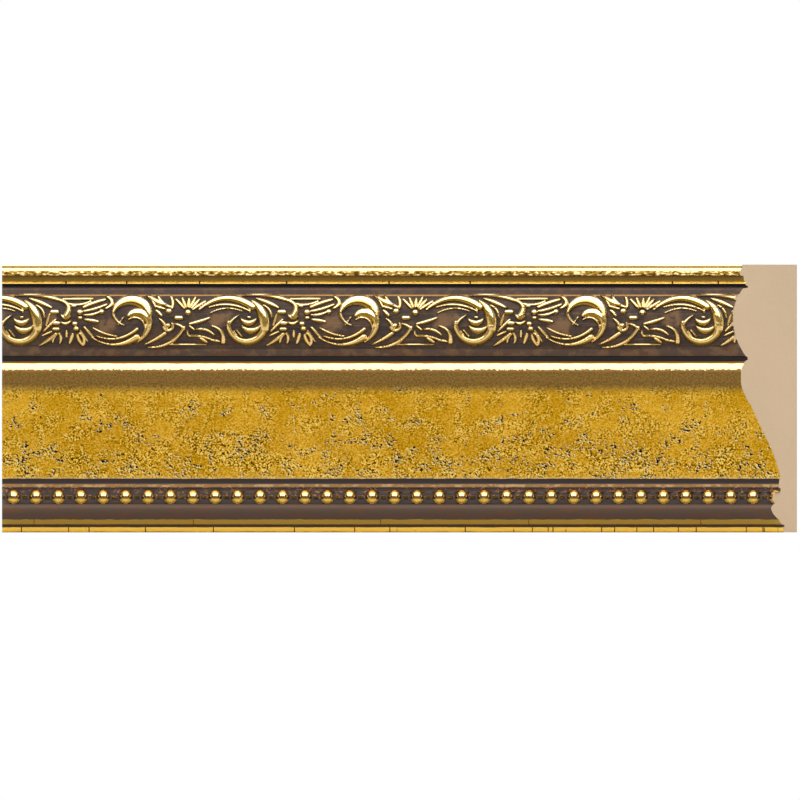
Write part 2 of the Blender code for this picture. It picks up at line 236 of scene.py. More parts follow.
# The floor, and the low dark flag in front that keeps its far part out of the gilding's reflections
FLOOR_SIZE = (8.0, 4.0)
FLAG_SIZE = (2.0, 0.1)
FLAG_DISTANCE = 0.3
FLAG_COLOUR = (0.05, 0.045, 0.04)
STAGE_ROUGHNESS = 0.9
WHITE = (1.0, 1.0, 1.0, 1.0)

# The camera's place, a little off the middle as the photo is framed
CAMERA_PLACE = (0.18, -600.0, -0.53)

# Edges that turn by more than this many degrees stay sharp
SHARP_DEGREES = 30

# Polygons by the side of the body that they lie on, with how straight out a flat side's normal points
# and how near the side's plane its polygons lie
FACE, BACK, SQUARE_END, MITRED_END = range(4)
NEARLY_ONE = 0.9999
ON_SIDE = 0.01

# The bake's map: the unrolled face above, then the back, then the two ends, each as low and high corner
FACE_PATCH = ((0.004, 0.004), (0.996, 0.82))
BACK_PATCH = ((0.004, 0.83), (0.78, 0.996))
SQUARE_END_PATCH = ((0.80, 0.83), (0.89, 0.996))
MITRED_END_PATCH = ((0.90, 0.83), (0.996, 0.996))


class MouldingShape(PropertyGroup):
    """Sizes of the moulding's mesh that a user may change."""

    relief: FloatProperty(
        name="Relief",
        description="How far the broadest leaves stand out of the band, in millimetres",
        default=1.4,
        min=0.2,
        max=3.0,
    )
    carved_step: FloatProperty(
        name="Carved step",
        description="Spacing of the mesh over the scroll and the beads",
        default=0.2 * MM,
        min=0.1 * MM,
        subtype="DISTANCE",
        unit="LENGTH",
    )
    coarse_cells: IntProperty(
        name="Coarse cells",
        description="How many carved steps the plain members' cells are long",
        default=6,
        min=1,
    )
    plain_step: FloatProperty(
        name="Plain step",
        description="Spacing of the mesh up the plain members",
        default=0.9 * MM,
        min=0.2 * MM,
        subtype="DISTANCE",
        unit="LENGTH",
    )
    triangles: IntProperty(
        name="Triangles",
        description="How many triangles the finished body may have",
        default=196000,
        min=20000,
    )


class MouldingFinish(PropertyGroup):
    """Colours of the moulding's finishes that a user may change."""

    gold: FloatVectorProperty(
        name="Gold",
        description="Burnished gold leaf",
        default=(1.0, 0.64, 0.12),
        subtype="COLOR",
    )
    old_gold: FloatVectorProperty(
        name="Old gold",
        description="Matt gold of the sloping face",
        default=(0.74, 0.395, 0.004),
        subtype="COLOR",
    )
    # Olive is painted shade: on the leaves' lower sides, and darker on the upper fillet
    olive: FloatVectorProperty(
        name="Olive",
        description="Dulled gold on the lower sides of the leaves",
        default=(0.30, 0.17, 0.022),
        subtype="COLOR",
    )
    # Colour of the painted shade on the listel and the slope's shoulder
    painted_shade: FloatVectorProperty(
        name="Glaze",
        description="Brown glaze over the gold of the listel",
        default=(0.168, 0.09, 0.014),
        subtype="COLOR",
    )
    umber: FloatVectorProperty(
        name="Umber",
        description="Dark wash in the hollows",
        default=(0.095, 0.062, 0.046),
        subtype="COLOR",
    )
    thin_wash: FloatVectorProperty(
        name="Thin wash",
        description="Brown where the wash lies thin between the scrolls",
        default=(0.21, 0.118, 0.056),
        subtype="COLOR",
    )
    copper: FloatVectorProperty(
        name="Copper",
        description="Rubbed copper of the thin fillets",
        default=(0.44, 0.24, 0.095),
        subtype="COLOR",
    )
    core: FloatVectorProperty(
        name="Core",
        description="Bare foam of the cut ends and the back",
        default=(0.62, 0.46, 0.30),
        subtype="COLOR",
    )


class StudioSettings(PropertyGroup):
    """Light and framing that a user may change."""

    key: FloatProperty(
        name="Key light",
        description="Brightness of the softbox in front and above",
        default=2.65,
        min=0.0,
    )
    overhead: FloatProperty(
        name="Overhead light",
        description="Brightness of the dimmer softbox overhead",
        default=1.8,
        min=0.0,
    )
    room: FloatProperty(
        name="Room light",
        description="Strength of the dim room that the face reflects",
        default=0.2,
        min=0.0,
    )
    floor: FloatVectorProperty(
        name="Floor",
        description="Colour of the floor",
        default=(0.6, 0.59, 0.57),
        subtype="COLOR",
    )
    framed_width: FloatProperty(
        name="Framed width",
        description="Width of what the camera sees",
        default=283.8 * MM,
        subtype="DISTANCE",
        unit="LENGTH",
    )


def quadratic(first, middle, last, count):
    """Values that run evenly from first through middle to last, as a parabola does."""
    s = np.linspace(0.0, 1.0, count)
    return first * (1 - s) * (1 - 2 * s) + middle * 4 * s * (1 - s) + last * s * (2 * s - 1)


def blade(start, end, bow, half_widths):
    """A ridge along the chord from start to end, plus 4 bow s (1 - s) to its left.

    The half widths are the ridge's at its start, its middle and its end.
    """
    start, end = np.array(start), np.array(end)
    chord = end - start
    left = np.array((-chord[1], chord[0])) / np.linalg.norm(chord)
    s = np.linspace(0.0, 1.0, PATH_POINTS)[:, None]
    path = start + s * chord + 4 * bow * s * (1 - s) * left
    return path, quadratic(*half_widths, PATH_POINTS)


def turn(centre, radii, from_degrees, sweep_degrees, half_widths, tall=1.0):
    """A ridge round centre through sweep_degrees, its radius from first to second, and tall times as high."""
    angle = np.radians(from_degrees + np.linspace(0.0, sweep_degrees, TURN_POINTS))
    radius = np.linspace(*radii, TURN_POINTS)
    path = np.stack((centre[0] + radius * np.cos(angle), centre[1] + tall * radius * np.sin(angle)), axis=1)
    return path, quadratic(*half_widths, TURN_POINTS)


def berry(centre, half_width, half_tall):
    """A low round knob, drawn out sideways where half_width is the larger."""
    reach = max(half_width - half_tall, LEAST_REACH)
    x, z = centre
    return blade((x - reach, z), (x + reach, z), 0.0, (half_tall,) * 3)


def blades(*rows):
    """Several blades, each given as start, end, bow and half widths."""
    return [blade(*row) for row in rows]


def fan(node, inner, fingers, half_widths):
    """Straight fingers round a node, each given as its angle in degrees and how far it reaches."""
    ridges = []
    for degrees, reach in fingers:
        along = np.array((math.cos(math.radians(degrees)), math.sin(math.radians(degrees))))
        ridges.append(blade(node + inner * along, node + reach * along, 0.0, half_widths))
    return ridges


def closed_scroll():
    """The scroll that folds over itself, its crescent and rim, and three stems that sweep into its foot."""
    tail = blade((-6.8, 2.4), (-2.9, -1.8), -0.8, (0.6, 0.5, 0.3))
    cap = turn((0.0, 1.2), (7.0, 5.9), 166, -166, (0.5, 1.95, 1.1), 0.92)
    side = blade((5.9, 1.6), (1.7, -8.0), 1.6, (1.0, 1.1, 0.2))
    crescent = turn((1.3, -1.5), (4.1, 4.6), 130, -140, (0.7, 1.75, 0.5))
    rim = turn((0.6, -2.6), (3.4, 3.9), 125, -125, (0.35, 0.45, 0.3))
    stems = blades(
        ((-14.3, -6.2), (1.5, -6.3), -2.5, (0.4, 0.65, 1.4)),
        ((-12.6, -5.7), (1.7, -3.2), -2.1, (0.35, 0.5, 0.7)),
        ((-13.9, -2.8), (-5.6, -5.7), -0.5, (0.4, 0.45, 0.35)),
        ((-5.0, -1.6), (-3.0, 1.2), 0.0, (0.3, 0.3, 0.3)),
    )
    return [tail, cap, side, crescent, rim, *stems]


def upright_spray():
    """The leaves from a closed scroll to the next open one: a bud, a fan of upright fingers, a long stalk."""
    node = np.array((19.8, 2.7))
    fingers_up = ((132, 6.2), (112, 5.5), (86, 4.9), (64, 5.9), (49, 6.0), (33, 7.3))
    upper_fan = fan(node, 2.0, fingers_up, (0.4, 0.62, 0.45))
    leaves = blades(
        ((5.2, 8.9), (8.3, 4.6), 0.4, (0.35, 0.5, 0.4)),
        ((6.4, 8.3), (12.0, 5.6), -0.5, (0.5, 1.0, 0.4)),
        ((9.0, 9.0), (13.9, 4.6), -0.9, (0.4, 0.65, 0.45)),
        ((13.8, 8.2), (14.2, 4.3), 0.4, (0.5, 0.65, 0.45)),
        ((8.2, 5.0), (11.6, 4.0), 0.0, (0.4, 0.6, 0.4)),
        ((8.6, 3.4), (10.4, 1.6), 0.0, (0.5, 0.75, 0.5)),
    )
    bud = [
        blade((9.6, 0.5), (12.2, -3.4), 0.4, (0.35, 0.7, 0.6)),
        turn((12.7, -2.0), (1.75, 1.75), 200, 190, (0.5, 0.7, 0.45)),
        berry((12.7, -1.9), 0.9, 0.85),
    ]
    stalk = blades(
        ((15.2, -1.3), (18.4, -3.2), 0.3, (0.35, 0.6, 0.55)),
        ((18.4, -2.6), (5.7, -9.7), 2.3, (0.6, 0.7, 0.35)),
        ((11.5, -4.8), (4.4, -8.6), 0.3, (0.75, 0.65, 0.25)),
    )
    fingers = blades(
        ((20.4, -1.3), (27.4, 0.8), -0.2, (0.5, 0.7, 0.45)),
        ((20.3, -2.1), (22.0, -3.4), 0.0, (0.4, 0.5, 0.4)),
        ((23.0, -3.2), (29.0, -5.2), 0.7, (0.4, 0.6, 0.4)),
        ((19.6, -4.0), (20.4, -5.7), -0.3, (0.4, 0.5, 0.45)),
        ((20.2, -5.7), (28.6, -7.2), 0.6, (0.45, 0.55, 0.45)),
        ((24.2, -6.5), (26.4, -7.8), 0.0, (0.5, 0.65, 0.5)),
        ((28.0, -7.1), (31.0, -7.6), 0.0, (0.4, 0.6, 0.4)),
        ((13.2, -8.7), (26.2, -8.7), 0.0, (0.3, 0.4, 0.3)),
        ((28.4, -2.1), (32.3, -8.0), 1.5, (0.45, 0.65, 0.9)),
    )
    berries = [berry((13.0, 3.2), 1.2, 1.05), berry(node, 1.2, 1.15), berry((16.5, 0.8), 1.7, 0.85)]
    return [*upper_fan, *leaves, *bud, *stalk, *fingers, *berries]


def open_scroll():
    """The scroll that stays open: a long arm over a ring, ridges under the arm and two cups in the ring."""
    arm = blade((-16.8, 3.8), (2.1, 4.8), 3.6, (0.5, 1.1, 1.35))
    side = blade((1.9, 7.0), (6.3, -3.4), 1.5, (0.3, 1.75, 1.5))
    ring = turn((0.0, -1.3), (6.5, 6.5), -20, -165, (1.4, 1.25, 0.7))
    ring_end = blade((-6.5, -1.8), (-2.9, 1.7), 0.3, (0.7, 0.55, 0.3))
    cup = turn((0.65, 2.1), (3.1, 3.1), 213, 114, (0.35, 1.05, 0.35))
    lower_cup = turn((1.5, -0.1), (3.7, 3.7), 213, 114, (0.35, 1.15, 0.35))
    ridges = blades(
        ((-13.4, 4.6), (1.1, 3.2), 1.6, (0.35, 0.5, 0.35)),
        ((-12.9, 2.6), (-1.6, 3.2), 1.3, (0.3, 0.4, 0.3)),
        ((0.9, 4.2), (1.1, 2.6), 0.2, (0.35, 0.35, 0.3)),
        ((-3.6, -3.6), (-1.8, -5.7), 0.0, (0.35, 0.4, 0.35)),
        ((-4.6, -3.9), (-3.2, -5.9), 0.0, (0.3, 0.3, 0.3)),
    )
    return [arm, side, ring, ring_end, cup, lower_cup, *ridges, berry((0.8, 1.0), 0.8, 0.5)]


def hooked_spray():
    """The leaves from an open scroll to the next closed one: a hooked leaf, a hanging fan, long fingers."""
    hook = [
        blade((-1.4, 8.7), (14.6, 7.0), 1.0, (0.3, 0.7, 0.7)),
        blade((14.2, 7.2), (16.6, 1.4), 2.0, (0.7, 0.85, 1.3)),
        turn((16.3, 2.3), (1.5, 1.5), -40, -120, (0.8, 0.7, 0.4)),
        blade((14.7, -0.7), (18.0, -0.4), -0.7, (0.35, 0.7, 0.4)),
    ]
    leaves = blades(
        ((6.0, 5.3), (8.9, 0.9), 0.8, (0.35, 0.5, 0.3)),
        ((3.6, 7.7), (11.2, 4.5), 0.2, (0.35, 0.8, 0.5)),
        ((10.7, 2.1), (9.4, -1.9), 0.0, (0.35, 0.45, 0.35)),
        ((12.7, 0.1), (8.6, -3.9), 0.0, (0.5, 0.6, 0.35)),
    )
    hanging = blades(
        ((11.3, -4.1), (8.2, -5.5), 0.0, (0.4, 0.5, 0.35)),
        ((12.9, -4.9), (7.1, -9.0), 0.3, (0.6, 0.8, 0.3)),
        ((11.8, -7.9), (13.2, -5.2), 0.3, (0.4, 0.5, 0.4)),
        ((14.1, -4.8), (14.3, -8.2), 0.5, (0.5, 0.6, 0.35)),
        ((16.7, -3.9), (16.7, -6.0), 0.0, (0.4, 0.5, 0.4)),
        ((18.8, -5.0), (17.8, -8.2), 0.1, (0.55, 0.75, 0.5)),
        ((20.6, -5.2), (22.5, -9.0), -0.4, (0.5, 0.75, 0.5)),
        ((21.2, -4.6), (22.9, -8.6), 0.7, (0.4, 0.6, 0.5)),
        ((21.6, -3.8), (24.2, -7.6), 0.0, (0.4, 0.5, 0.35)),
        ((23.0, -2.6), (26.2, -6.2), 0.0, (0.5, 0.65, 0.5)),
    )
    fingers = blades(
        ((15.5, 7.5), (26.0, 7.6), 0.0, (0.4, 0.55, 0.45)),
        ((16.3, 6.2), (25.2, 6.7), -1.0, (0.4, 0.55, 0.45)),
        ((22.7, 4.6), (30.3, 7.3), 0.2, (0.5, 0.7, 0.55)),
        ((22.9, 3.2), (30.9, 5.6), -0.3, (0.5, 0.6, 0.45)),
        ((23.0, 1.8), (28.6, 3.0), -0.4, (0.45, 0.6, 0.45)),
        ((23.3, 0.2), (27.8, -0.5), 0.0, (0.5, 0.75, 0.5)),
        ((31.2, 8.4), (30.7, 4.2), 1.9, (0.55, 0.8, 0.45)),
    )
    berries = [
        berry((12.4, 2.9), 1.75, 0.85),
        berry((13.1, -1.1), 1.5, 0.8),
        berry((12.9, -3.2), 1.5, 0.75),
        berry((19.3, 5.1), 1.0, 0.75),
        berry((21.4, 2.8), 1.15, 1.1),
        berry((21.5, 0.8), 0.9, 0.7),
        berry((19.6, -1.3), 1.1, 0.85),
        berry((20.1, -3.1), 1.1, 0.9),
        berry((29.1, 3.0), 1.05, 1.0),
    ]
    return [*hook, *leaves, *hanging, *fingers, *berries]


def raise_ridge(layers, x, h, ridge, origin, full):
    """Raises the relief to full sqrt(1 - (away / half width)^2) round a path, lower where the ridge is thin.

    The rim of dark wash and painted shade runs from 1 at the ridge's edge to 0 its width away, and the lower
    side from -1 at the ridge's upper edge to 1 at its lower edge.
    """
    relief, wash_and_shade, lower_side = layers
    path, half_width = ridge[0] + origin, ridge[1]
    low = path.min(axis=0) - half_width.max() - WASH_AND_SHADE_WIDTH
    high = path.max(axis=0) + half_width.max() + WASH_AND_SHADE_WIDTH
    rows = np.flatnonzero((h >= low[1]) & (h <= high[1]))
    columns = np.flatnonzero((x.max(axis=0) >= low[0]) & (x.min(axis=0) <= high[0]))
    if not len(rows) or not len(columns):
        return
    block = np.ix_(rows, columns)
    spot = np.stack(np.broadcast_arrays(x[block], h[rows][:, None]), axis=-1)[..., None, :]
    start, run = path[:-1], np.diff(path, axis=0)
    share = (((spot - start) * run).sum(axis=-1) / (run**2).sum(axis=-1)).clip(0.0, 1.0)
    offset = spot - start - share[..., None] * run
    away = np.linalg.norm(offset, axis=-1)
    width = half_width[:-1] + share * np.diff(half_width)
    nearest = (away / width).argmin(axis=-1)[..., None]
    part = np.take_along_axis(away / width, nearest, axis=-1)[..., 0]
    below = np.take_along_axis(-offset[..., 1] / width, nearest, axis=-1)[..., 0]
    broad = min(1.0, half_width.max() / BROAD_HALF_WIDTH)
    height = full * (THIN_SHARE + (1 - THIN_SHARE) * broad)
    raised = height * np.sqrt(np.clip(1 - part**2, 0.0, None))
    beside = (1 - (away - width).min(axis=-1) / WASH_AND_SHADE_WIDTH).clip(0.0, 1.0)
    lower_side[block] = np.where(raised > relief[block], below, lower_side[block])
    wash_and_shade[block] = np.maximum(wash_and_shade[block], beside)
    relief[block] = np.maximum(relief[block], raised)


def scroll_layers(x, h, full):
    """The running scroll's relief at each x and h, with the line above it, its rims of dark wash and painted
    shade, and its lower sides.
    """
    line = np.clip(1 - ((h - BAND_MIDDLE - EDGE_LINE) / EDGE_LINE_HALF_WIDTH) ** 2, 0.0, None)
    relief = np.broadcast_to(EDGE_LINE_RELIEF * np.sqrt(line)[:, None], x.shape).copy()
    wash_and_shade, lower_side = np.zeros_like(x), np.zeros_like(x)
    closed = closed_scroll() + upright_spray()
    opened = open_scroll() + hooked_spray()
    for repeat in REPEATS:
        for first, ridges in ((CLOSED_SCROLL, closed), (OPEN_SCROLL, opened)):
            origin = np.array((first + repeat * REPEAT, BAND_MIDDLE))
            for ridge in ridges:
                raise_ridge((relief, wash_and_shade, lower_side), x, h, ridge, origin, full)
    return relief, wash_and_shade, lower_side


def bead_layers(x, h):
    """The bead course's thickness, half ellipsoids at even pitch with bars between, and the dark wash with
    painted shade round the beads.
    """
    step = (x - FIRST_BEAD) / BEAD_PITCH
    from_bead = (step - np.clip(np.round(step), 0, BEAD_COUNT - 1)) * BEAD_PITCH
    from_bar = (step - np.floor(step) - 0.5) * BEAD_PITCH
    up = (h - BEAD_HEIGHT)[:, None]
    out = np.hypot(from_bead / BEAD_HALF_WIDTH, up / BEAD_HALF_TALL)
    bar = (np.abs(from_bar) <= BAR_HALF_LENGTH) & (np.abs(up) <= BAR_HALF_TALL)
    dome = np.where(out < 1, BEAD_LEVEL + BEAD_DOME * np.sqrt(np.clip(1 - out**2, 0.0, None)), 0.0)
    wash_and_shade = (1 - (out - 1) * BEAD_HALF_WIDTH / WASH_AND_SHADE_WIDTH).clip(0.0, 1.0)
    return np.maximum(dome, np.where(bar, BAR_LEVEL, 0.0)), wash_and_shade


def profile(carved_step, plain_step):
    """Rows of the face from the lower edge up: height, plain thickness, and whether the row is carved."""
    heights, thicknesses, carved = [0.0], [FOOT_THICKNESS], [False]
    for name, rise, thickness, swell in MEMBERS:
        step = carved_step if name in CARVED else plain_step
        count = math.ceil(rise / step)
        share = np.arange(1, count + 1) / count
        base, before = heights[-1], thicknesses[-1]
        heights.extend(base + rise * share)
        thicknesses.extend(before + (thickness - before) * share + 4 * swell * share * (1 - share))
        carved.extend([name in CARVED] * count)
    return np.array(heights), np.array(thicknesses), np.array(carved)


def face_rows(shape):
    """The face as rows of x, height and thickness, with its plain profile and the marks its finish needs."""
    h, plain, carved = profile(shape.carved_step / MM, shape.plain_step / MM)
    level = plain[:, None]

    def surface(x):
        relief, wash_and_shade, lower_side = scroll_layers(x, h, shape.relief)
        beads, bead_wash_and_shade = bead_layers(x, h)
        return np.maximum(level + relief, beads), np.maximum(wash_and_shade, bead_wash_and_shade), lower_side

    end = RIGHT_END - level
    for _ in range(MITRE_ROUNDS):
        end = RIGHT_END - surface(end)[0]
    cells = math.ceil((RIGHT_END - LEFT_END) / (shape.carved_step / MM))
    cells += -cells % shape.coarse_cells
    x = LEFT_END + (end - LEFT_END) * np.linspace(0.0, 1.0, cells + 1)
    thick, wash_and_shade, lower_side = surface(x)
    edge = np.where(h < BEAD_SEAT[1], BEAD_GILT_EDGE, LEAF_GILT_EDGE)[:, None]
    gilt = ((thick - level) / edge - 1).clip(0.0, 1.0)
    thick[:, -1] = RIGHT_END - x[:, -1]
    return h, plain, carved, x, thick, {"gilt": gilt, "wash_and_shade": wash_and_shade, "lower_side": lower_side}


def body_mesh(name, shape):
    """One closed body: fine rows over the carving, coarse rows elsewhere, a flat back and two flat ends."""
    h, plain, carved, x, thick, marks = face_rows(shape)
    ratio = shape.coarse_cells
    picks = [slice(None) if fine else slice(None, None, ratio) for fine in carved]
    xs = [x[row, pick] for row, pick in enumerate(picks)]
    ys = [-thick[row, pick] for row, pick in enumerate(picks)]
    zs = [np.full(len(xs[row]), height + FOOT) for row, height in enumerate(h)]
    back = np.linspace(LEFT_END, RIGHT_END, x[:, ::ratio].shape[1])
    for height in (TOP, FOOT):
        xs.append(back)
        ys.append(np.zeros_like(back))
        zs.append(np.full_like(back, height))
    counts = np.array([len(row) for row in xs])
    first = np.concatenate(((0,), np.cumsum(counts)[:-1]))
    rows = [start + np.arange(count) for start, count in zip(first, counts)]
    faces = []
    for row, this in enumerate(rows):
        faces += strip(this, rows[(row + 1) % len(rows)], ratio)
    faces.append(first.tolist())
    faces.append((first + counts - 1)[::-1].tolist())
    points = np.stack((np.concatenate(xs), np.concatenate(ys), np.concatenate(zs)), axis=1) * MM
    mesh = bpy.data.meshes.new(name)
    mesh.from_pydata(points.tolist(), [], faces)
    along = np.concatenate(((0.0,), np.cumsum(np.hypot(np.diff(h), np.diff(plain))))) + plain[0]
    unrolled = np.concatenate((along, (along[-1] + plain[-1], 0.0))) / (along[-1] + plain[-1])
    for mark, values in marks.items():
        picked = [values[row, pick] for row, pick in enumerate(picks)]
        write(mesh, mark, np.concatenate((*picked, np.zeros(2 * len(back)))))
    write(mesh, "unrolled", np.repeat(unrolled, counts))
    write(mesh, "carved", np.repeat(np.append(carved, (False, False)), counts))
    mesh.update()
    return mesh


def strip(this, above, ratio):
    """Faces between two rows of points, where one row may have ratio times as many cells as the other."""
    if len(this) == len(above):
        return np.stack((this[:-1], this[1:], above[1:], above[:-1]), axis=1).tolist()
    if len(this) > len(above):
        fine = this[:-1].reshape(-1, ratio)
        ends = np.stack((this[ratio::ratio], above[1:], above[:-1]), axis=1)
        return np.hstack((fine, ends)).tolist()
    fine = above[:-1].reshape(-1, ratio)
    starts = np.stack((this[:-1], this[1:], above[ratio::ratio]), axis=1)
    return np.hstack((starts, fine[:, ::-1])).tolist()


def write(mesh, name, values):
    """Stores one number for each point of the mesh."""
    layer = mesh.attributes.new(name, "FLOAT", "POINT")
    layer.data.foreach_set("value", np.asarray(values, dtype=np.float32))


def read(items, name, width=1):
    """One number, or one row of width numbers, from each of the items."""
    values = np.empty(len(items) * width)
    items.foreach_get(name, values)
    return values.reshape(-1, width) if width > 1 else values


def thin_out(piece, triangles):
    """Collapses carved cells that lie nearly flat until the body has its number of triangles."""
    mesh = piece.data
    mesh.calc_loop_triangles()
    group = piece.vertex_groups.new(name="carved")
    group.add(np.flatnonzero(read(mesh.attributes["carved"].data, "value") > 0.5).tolist(), 1.0, "REPLACE")
    collapse = piece.modifiers.new("thin out", "DECIMATE")
    collapse.vertex_group = group.name
    collapse.ratio = min(1.0, triangles / len(mesh.loop_triangles))
    collapse.use_collapse_triangulate = True
    thinned = bpy.data.meshes.new_from_object(piece.evaluated_get(bpy.context.evaluated_depsgraph_get()))
    piece.modifiers.remove(collapse)
    piece.vertex_groups.clear()
    piece.data = thinned


def sides_of(mesh):
    """Which side of the body each polygon lies on."""
    nx, ny, _ = read(mesh.polygons, "normal", 3).T
    x, y, _ = read(mesh.polygons, "center", 3).T / MM
    side = np.full(len(mesh.polygons), FACE)
    side[(ny > NEARLY_ONE) & (np.abs(y) < ON_SIDE)] = BACK
    side[(nx < -NEARLY_ONE) & (np.abs(x - LEFT_END) < ON_SIDE)] = SQUARE_END
    side[((nx - ny) * math.sqrt(0.5) > NEARLY_ONE) & (np.abs(x - y - RIGHT_END) < ON_SIDE)] = MITRED_END
    return side


def unroll(mesh, side):
    """The bake's map: the face unrolled from edge to edge, and the back and the ends laid flat above it."""
    corner = read(mesh.loops, "vertex_index").astype(int)
    x, y, z = (read(mesh.vertices, "co", 3).T / MM)[:, corner]
    unrolled = read(mesh.attributes["unrolled"].data, "value")[corner]
    along = (x - LEFT_END) / (RIGHT_END - LEFT_END)
    up = (z - FOOT) / (TOP - FOOT)
    deep = y / LOW[1]
    of_corner = np.repeat(side, read(mesh.polygons, "loop_total").astype(int))
    spots = np.empty((len(corner), 2))
    for code, patch, across, upward in (
        (FACE, FACE_PATCH, along, unrolled),
        (BACK, BACK_PATCH, 1 - along, up),
        (SQUARE_END, SQUARE_END_PATCH, deep, up),
        (MITRED_END, MITRED_END_PATCH, 1 - deep, up),
    ):
        low, high = (np.array(end) for end in patch)
        here = of_corner == code
        spots[here] = low + (high - low) * np.stack((across, upward), axis=1)[here]
    mesh.uv_layers.new(name="OFBake").data.foreach_set("uv", spots.ravel())


class Signal:
    """A shader socket that Python arithmetic extends with Math nodes."""

    def __init__(self, finish, socket):
        self.finish = finish
        self.socket = socket

    def math(self, operation, *others):
        return self.finish.node("ShaderNodeMath", {"operation": operation}, dict(enumerate((self, *others))))

    def __add__(self, other):
        return self.math("ADD", other)

    __radd__ = __add__

    def __sub__(self, other):
        return self.math("SUBTRACT", other)

    def __rsub__(self, other):
        return self.finish.node("ShaderNodeMath", {"operation": "SUBTRACT"}, {0: other, 1: self})

    def __mul__(self, other):
        return self.math("MULTIPLY", other)

    __rmul__ = __mul__

    def __truediv__(self, other):
        return self.math("DIVIDE", other)

    def most(self, other):
        return self.math("MAXIMUM", other)

    def between(self, low, high):
        """0 at low and 1 at high with a smooth run between, also where low is the larger of the two."""
        return self.finish.node(
            "ShaderNodeMapRange",
            {"interpolation_type": "SMOOTHSTEP"},
            {"Value": self, "From Min": low, "From Max": high},
        )

    def inside(self, low, high, blur):
        """1 between low and high, and 0 outside them, with edges blur wide."""
        return self.between(low - blur / 2, low + blur / 2) * self.between(high + blur / 2, high - blur / 2)


class Finish:
    """A material on one Principled shader, whose other nodes all come from node()."""

    def __init__(self, name):
        self.material = bpy.data.materials.new(name)
        self.material.use_nodes = True
        self.tree = self.material.node_tree
        self.shader = self.tree.nodes["Principled BSDF"]
        self.place = self.node("ShaderNodeTexCoord", output="Object")
        self.along = self.part("X") / MM
        self.height = self.part("Z") / MM - FOOT

    def node(self, kind, settings=None, inputs=None, output=0):
        """A node with its settings made first, then the values or links of its sockets."""
        made = self.tree.nodes.new(kind)
        for key, value in (settings or {}).items():
            setattr(made, key, value)
        for key, value in (inputs or {}).items():
            self.feed(made.inputs[key], value)
        return Signal(self, made.outputs[output])

    def feed(self, socket, value):
        """Links a signal to the socket, or sets the socket to a plain value."""
        if isinstance(value, Signal):
            self.tree.links.new(value.socket, socket)
        else:
            socket.default_value = value

    def set(self, **sockets):
        """Feeds the shader's own sockets, named with _ for a space."""
        for key, value in sockets.items():
            self.feed(self.shader.inputs[key.replace("_", " ")], value)

    def part(self, axis):
        return self.node("ShaderNodeSeparateXYZ", None, {"Vector": self.place}, output=axis)

    def stored(self, name):
        return self.node("ShaderNodeAttribute", {"attribute_name": name}, output="Fac")

    def pressed(self, x=1.0, z=1.0, turned=0.0, moved=(0.0, 0.0)):
        """The piece's coordinates pressed along and up, turned in the face's plane, moved by millimetres."""
        values = {
            "Vector": self.place,
            "Location": (moved[0] * MM, 0.0, moved[1] * MM),
            "Rotation": (0.0, math.radians(turned), 0.0),
            "Scale": (x, 1.0, z),
        }
        return self.node("ShaderNodeMapping", None, values)

    def noise(self, size, detail=2.0, roughness=0.5, at=None):
        """Cloudy noise from 0 to 1 whose grains are about size millimetres."""
        scale = 1 / (size * MM)
        values = {"Vector": at or self.place, "Scale": scale, "Detail": detail, "Roughness": roughness}
        return self.node("ShaderNodeTexNoise", None, values)

    def cells(self, size, at=None):
        """Distance to the nearest of points scattered size millimetres apart, as a share of that size."""
        values = {"Vector": at or self.place, "Scale": 1 / (size * MM)}
        return self.node("ShaderNodeTexVoronoi", None, values)

    def cuts(self, pitch, begins, whole):
        """1 in lines scattered across the moulding at a pitch in millimetres, and 0 beside them."""
        settings = {"voronoi_dimensions": "1D", "feature": "DISTANCE_TO_EDGE"}
        away = self.node("ShaderNodeTexVoronoi", settings, {"W": self.along / pitch, "Scale": 1.0})
        return away.between(begins, whole)

    def mix(self, share, first, second):
        """A colour that runs from first to second as share runs from 0 to 1."""
        values = {0: share, 6: colour(first), 7: colour(second)}
        return self.node("ShaderNodeMix", {"data_type": "RGBA"}, values, output=2)

    def bumped(self, height, distance):
        """A normal for a surface raised by height times distance millimetres."""
        return self.node("ShaderNodeBump", None, {"Height": height, "Distance": distance * MM})


def colour(value, share=1.0):
    """A colour as a node's socket takes it, at a share of its own brightness."""
    return value if isinstance(value, Signal) else (*(share * part for part in value[:3]), 1.0)


def bands(height, edges, blur=0.12):
    """1 inside any of the bands between two heights, and 0 outside them."""
    masks = [height.inside(low, high, blur) for low, high in edges]
    total = masks[0]
    for mask in masks[1:]:
        total = total + mask
    return total


